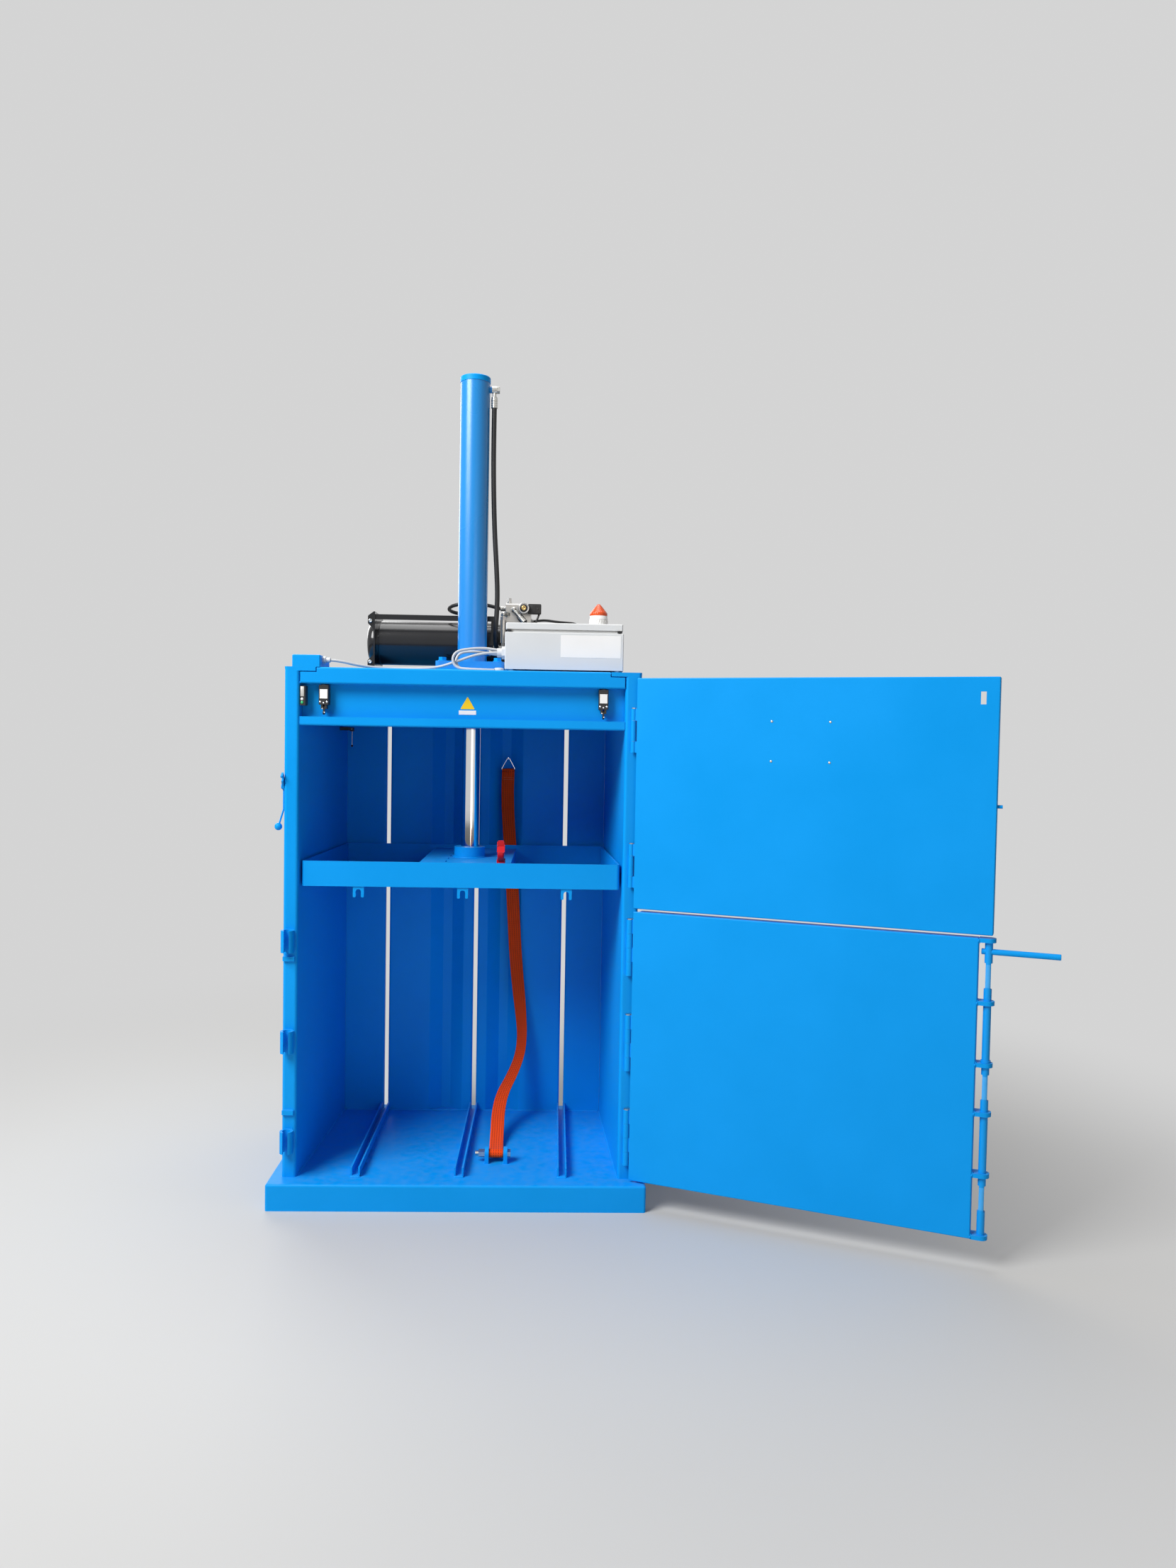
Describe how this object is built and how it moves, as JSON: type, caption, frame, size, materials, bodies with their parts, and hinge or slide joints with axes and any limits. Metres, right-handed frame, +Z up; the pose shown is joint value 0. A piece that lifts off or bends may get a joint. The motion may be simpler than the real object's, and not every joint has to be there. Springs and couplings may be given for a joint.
{
  "type": "vertical recycling baler",
  "caption": "Front-loading vertical baler: folded-sheet press chamber on a tray base, two side-hung doors, a hydraulic cylinder on the roof and its power pack.",
  "frame": {"origin": "centre of the base's footprint, on the floor", "axes": "+X to the right seen from the front, +Y from the doors to the back, +Z up"},
  "size_m": [2.304, 1.2616, 2.722],
  "materials": {
    "blue_paint": "gloss",
    "black_paint": "gloss",
    "motor_paint": "satin",
    "zinc_steel": "satin",
    "chrome": "polished",
    "red_paint": "gloss",
    "orange_webbing": "matte",
    "valve_aluminium": "satin",
    "black_plastic": "matte",
    "hose_rubber": "matte",
    "grey_enamel": "satin",
    "beacon_plastic": "gloss",
    "grey_plastic": "matte",
    "wand_steel": "satin"
  },
  "bodies": {
    "frame": {"base_tray": "blue_paint", "base_ribs": "blue_paint", "left_side_wall": "blue_paint", "right_side_wall": "blue_paint", "wall_stiffeners": "blue_paint", "back_panels": "blue_paint", "floor_channels": "blue_paint", "roof_plate": "blue_paint", "roof_channels": "blue_paint", "front_beam": "blue_paint", "lock_hooks": "blue_paint", "post_fittings": "blue_paint", "frame_knuckles": "blue_paint", "strap_lugs": "blue_paint", "interlock_box": "blue_paint", "cylinder_tube": "blue_paint", "cylinder_ends": "blue_paint", "cylinder_seat": "blue_paint", "oil_tank": "black_paint", "pack_frame": "black_paint", "pump_body": "black_paint", "electric_motor": "motor_paint", "hinge_pins": "zinc_steel", "flange_bolts": "zinc_steel", "strap_bolt": "zinc_steel", "strap_ring": "zinc_steel", "hydraulic_fittings": "zinc_steel", "ejection_strap": "orange_webbing", "valve_block": "valve_aluminium", "solenoid_valve": "black_plastic", "enclosure_hinges": "black_plastic", "position_switches": "black_plastic", "pressure_hose": "hose_rubber", "rod_side_hose": "hose_rubber", "return_hose": "hose_rubber", "enclosure_body": "grey_enamel", "cable_glands": "grey_plastic", "electric_cables": "grey_plastic"},
    "ram": {"platen": "blue_paint", "piston_rod": "chrome", "ejection_hook": "red_paint"},
    "hook_latch": {"hook_latch": "zinc_steel"},
    "upper_door": {"upper_door_panel": "blue_paint", "upper_door_ribs": "blue_paint", "upper_door_knuckles": "blue_paint", "upper_door_fittings": "blue_paint"},
    "lower_door": {"lower_door_panel": "blue_paint", "lower_door_ribs": "blue_paint", "lower_door_knuckles": "blue_paint", "lock_lugs": "blue_paint"},
    "lock_bar": {"lock_bar": "blue_paint", "lock_handle": "blue_paint"},
    "side_latch": {"side_latch": "blue_paint"},
    "left_lever": {"left_roller_lever": "black_plastic"},
    "right_lever": {"right_roller_lever": "black_plastic"},
    "wand": {"switch_wand": "wand_steel"},
    "lid": {"enclosure_lid": "grey_enamel", "lid_fittings": "black_plastic", "beacon": "beacon_plastic"}
  },
  "joints": [
    {"name": "ram_slide", "type": "slide", "parent": "frame", "child": "ram", "axis": [0, 0, 1], "range_m": [-0.488, 0.352]},
    {"name": "upper_door_hinge", "type": "hinge", "parent": "frame", "child": "upper_door", "pos_m": [0.537, -0.3495, 1.328], "axis": [0, 0, 1], "range_deg": [-156.1, 15]},
    {"name": "lower_door_hinge", "type": "hinge", "parent": "frame", "child": "lower_door", "pos_m": [0.537, -0.3495, 0.522], "axis": [0, 0, 1], "range_deg": [-156.1, 15]},
    {"name": "lock_bar_turn", "type": "hinge", "parent": "lower_door", "child": "lock_bar", "pos_m": [1.52753, -0.77751, 0.916], "axis": [0, 0, 1], "range_deg": [0, 90]},
    {"name": "side_latch_pivot", "type": "hinge", "parent": "frame", "child": "side_latch", "pos_m": [-0.562, -0.322, 1.333], "axis": [1, 0, 0], "range_deg": [-8, 55]},
    {"name": "left_lever_pivot", "type": "hinge", "parent": "frame", "child": "left_lever", "pos_m": [-0.442, -0.32, 1.585], "axis": [1, 0, 0], "range_deg": [-30, 30], "stiffness_Nm_per_rad": 0.05},
    {"name": "right_lever_pivot", "type": "hinge", "parent": "frame", "child": "right_lever", "pos_m": [0.441, -0.32, 1.585], "axis": [1, 0, 0], "range_deg": [-30, 30], "stiffness_Nm_per_rad": 0.05},
    {"name": "wand_pivot", "type": "hinge", "parent": "frame", "child": "wand", "pos_m": [-0.44626, 0.214, 1.52], "axis": [0, 1, 0], "range_deg": [-35, 35], "stiffness_Nm_per_rad": 0.05},
    {"name": "hook_latch_pivot", "type": "hinge", "parent": "ram", "child": "hook_latch", "pos_m": [0.12, -0.258, 1.157], "axis": [1, 0, 0], "range_deg": [0, 40], "stiffness_Nm_per_rad": 0.03, "springref_deg": -45.84},
    {"name": "lid_hinge", "type": "hinge", "parent": "frame", "child": "lid", "pos_m": [0.124, -0.2745, 1.843], "axis": [1, 0, 0], "range_deg": [0, 105]}
  ]
}
